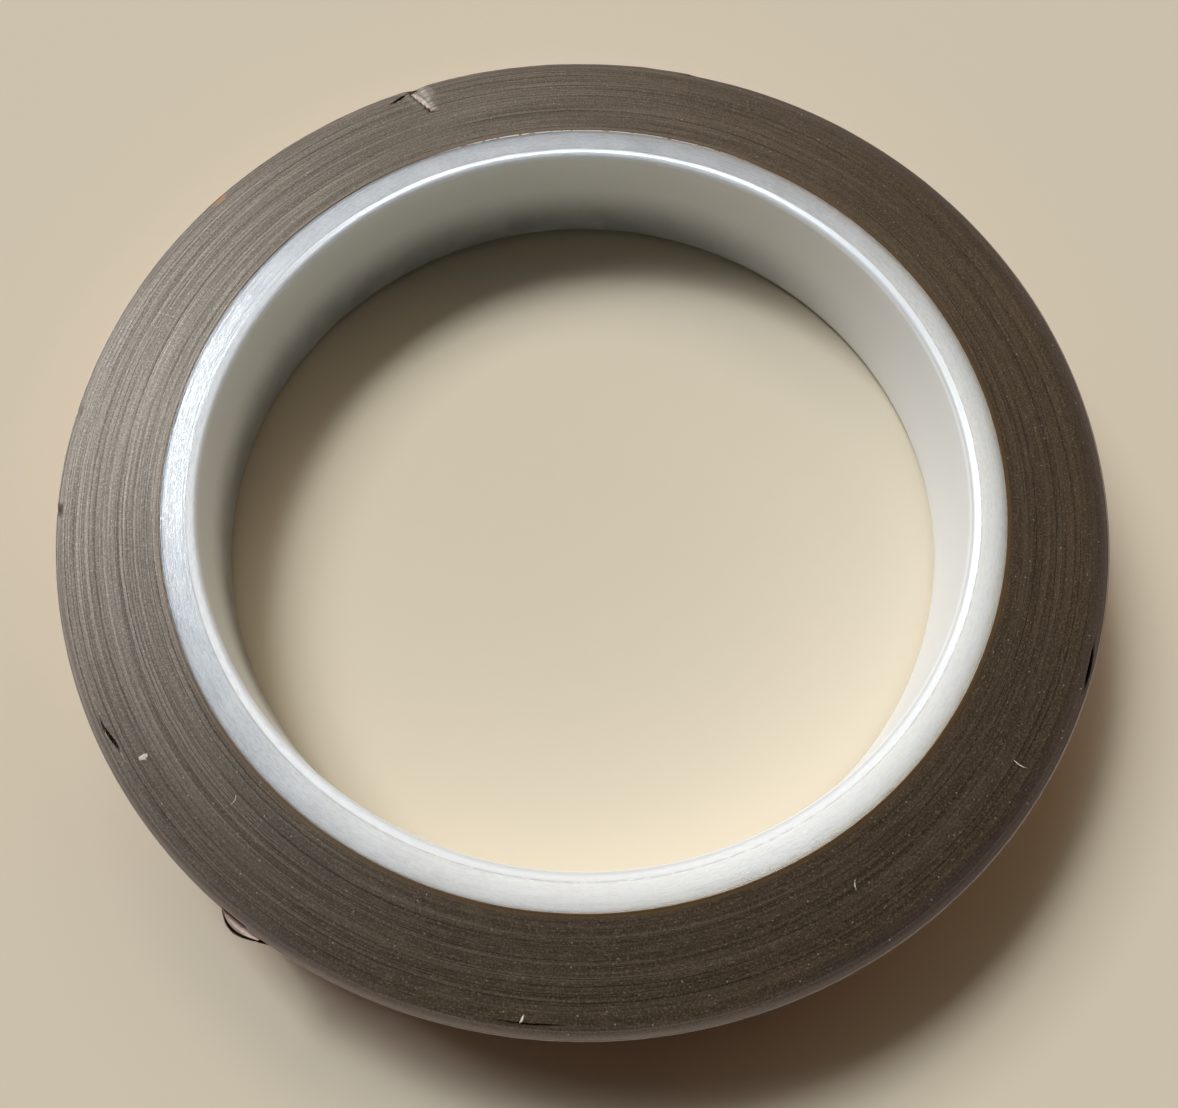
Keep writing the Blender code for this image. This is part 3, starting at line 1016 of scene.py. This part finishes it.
def debris_piece(material):
    """Small flat chips and fibres, each a closed prism with a domed top."""
    points, faces = [], []
    around = TURN * np.arange(DEBRIS_CORNERS) / DEBRIS_CORNERS
    for seed, (degrees, radius, direction, length, width, bend) in enumerate(DEBRIS):
        ragged = 1.0 + 0.22 * knot(np.arange(DEBRIS_CORNERS), 91 + seed)
        turn, place = math.radians(direction), math.radians(degrees)
        first = len(points)
        for spread, height in DEBRIS_LAYERS:
            along = length * np.cos(around) * ragged * spread
            across = width * np.sin(around) * ragged * spread + bend * (along / length) ** 2
            x = radius * math.cos(place) + along * math.cos(turn) - across * math.sin(turn)
            y = radius * math.sin(place) + along * math.sin(turn) + across * math.cos(turn)
            points += [(a * MM, b * MM, TOP + height * MM) for a, b in zip(x, y)]
        faces += [
            tuple(first + corner for corner in face)
            for face in grid_faces(len(DEBRIS_LAYERS), DEBRIS_CORNERS, False)
        ]
        faces.append(tuple(first + corner for corner in reversed(range(DEBRIS_CORNERS))))
        top = first + (len(DEBRIS_LAYERS) - 1) * DEBRIS_CORNERS
        faces.append(tuple(top + corner for corner in range(DEBRIS_CORNERS)))
    return make_piece("side_debris", points, faces, material)


# ---------------- stage


FLOOR_COLOUR = (0.66, 0.58, 0.45)
BACKDROP_COLOUR = (0.60, 0.54, 0.42)
CAMERA_PLACE = Vector((0.00035, -0.05008, 0.12708))
CAMERA_AIM = Vector((0.00035, 0.00264, 0.015))
CAMERA_ROLL = math.radians(1.46)
CAMERA_LENS = 37.9
CAMERA_SHIFT = -0.0954
# The direction that the room's soft window glow comes from.
SKY_SIDE = (-0.50, 0.42, 0.76)
FLOOR_SIZE = 8.0
# The floor lies a hair below the roll.
FLOOR_DROP = 0.1 * MM


def add_floor():
    bpy.ops.mesh.primitive_plane_add(size=FLOOR_SIZE, location=(0.0, 0.0, -FLOOR_DROP))
    floor = bpy.context.object
    floor.name = "floor"
    shader = Shader("floor")
    floor.data.materials.append(shader.finish(Base_Color=FLOOR_COLOUR, Roughness=0.9))


# Every light stands this far off, so that the floor is evenly lit.
LIGHT_DISTANCE = 20.0


def add_area_light(name, azimuth, elevation, spread, power, colour):
    """A soft light that faces the roll from an azimuth (from +X) and elevation in degrees.

    The spread is its width and height as seen from the roll, per metre of distance, and the power
    is what it would need at one metre.
    """
    turn, rise = math.radians(azimuth), math.radians(elevation)
    away = Vector((math.cos(turn) * math.cos(rise), math.sin(turn) * math.cos(rise), math.sin(rise)))
    data = bpy.data.lights.new(name, "AREA")
    data.shape = "RECTANGLE"
    data.size, data.size_y = spread[0] * LIGHT_DISTANCE, spread[1] * LIGHT_DISTANCE
    data.energy = power * LIGHT_DISTANCE ** 2
    data.color = colour
    light = bpy.data.objects.new(name, data)
    light.location = away * LIGHT_DISTANCE
    light.rotation_euler = away.to_track_quat("Z", "Y").to_euler()
    light.visible_camera = False
    bpy.context.scene.collection.objects.link(light)
    return light


def add_lights(gleaming):
    """The room's lights; the ceiling's gleam falls on the pieces of one collection only."""
    add_area_light("window", 139.0, 52.0, (0.36, 0.36), 5.5, (0.96, 0.98, 1.0))
    add_area_light("window_edge", 127.0, 58.0, (0.20, 0.20), 3.0, (0.85, 0.94, 1.0))
    add_area_light("side_window", 102.0, 50.0, (0.36, 0.26), 1.6, (1.0, 0.95, 0.87))
    add_area_light("warm_wall", 55.0, 48.0, (0.80, 0.50), 1.3, (1.0, 0.80, 0.55))
    ceiling = add_area_light("ceiling", 90.0, 85.0, (0.70, 0.15), 2.5, (0.88, 0.95, 1.0))
    ceiling.light_linking.receiver_collection = gleaming
    room = Shader("studio", world=True)
    direction = room.add("ShaderNodeTexCoord").outputs["Generated"]
    facing = room.add("ShaderNodeVectorMath", {"operation": "DOT_PRODUCT"}, {0: direction, 1: SKY_SIDE})
    sky = room.remap(facing.outputs["Value"], 0.55, 1.0)
    colour = room.mix(sky, (1.0, 0.93, 0.82), (0.90, 0.95, 1.0))
    strength = room.remap(facing.outputs["Value"], 0.80, 1.0, 0.03, 0.25)
    # Reflections also meet the room's walls, low down.
    walls = room.remap(room.part(direction, "Z"), 0.50, 0.30, 0.0, 0.35)
    path = room.add("ShaderNodeLightPath").outputs
    strength = room.plus(strength, room.times(walls, path["Is Glossy Ray"]))
    seen = path["Is Camera Ray"]
    colour = room.mix(seen, colour, BACKDROP_COLOUR)
    strength = room.plus(strength, room.times(seen, room.minus(1.0, strength)))
    bpy.context.scene.world = room.finish(Color=colour, Strength=strength)


def add_camera():
    """The photo's camera, found from the ellipses of the roll's rim and bore."""
    data = bpy.data.cameras.new("camera")
    data.sensor_width = 36.0
    data.lens = CAMERA_LENS
    data.shift_y = CAMERA_SHIFT
    data.clip_start = 0.005
    camera = bpy.data.objects.new("camera", data)
    forward = (CAMERA_AIM - CAMERA_PLACE).normalized()
    turned = forward.to_track_quat("-Z", "Y") @ Matrix.Rotation(CAMERA_ROLL, 3, "Z").to_quaternion()
    camera.location = CAMERA_PLACE
    camera.rotation_euler = turned.to_euler()
    bpy.context.scene.collection.objects.link(camera)
    bpy.context.scene.camera = camera
    bpy.context.scene.view_settings.view_transform = "Standard"


# ---------------- build


def main():
    """Builds every piece, the stage, the lights and the camera."""
    materials = {
        "side": tape_side_material(),
        "core": core_material(),
        "copper": copper_material(),
        "adhesive": adhesive_material(),
        "film": film_material(),
        "liner": liner_material(),
    }
    pieces = [
        (core_piece(materials["core"]), "core", "roll"),
        (film_piece(materials["film"]), "start_adhesive", "roll"),
        (pack_piece(materials["side"]), "wound_turns", "roll"),
    ]
    pieces += outer_turn_pieces(materials)
    pieces += tail_pieces(materials)
    for piece, node, body in pieces:
        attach(piece, body)
        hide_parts(node)
    debris = debris_piece(fleck_material())
    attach(debris, "roll")
    add_floor()
    gleaming = bpy.data.collections.new("gleaming")
    gleaming.objects.link(pieces[0][0])
    add_lights(gleaming)
    add_camera()


main()
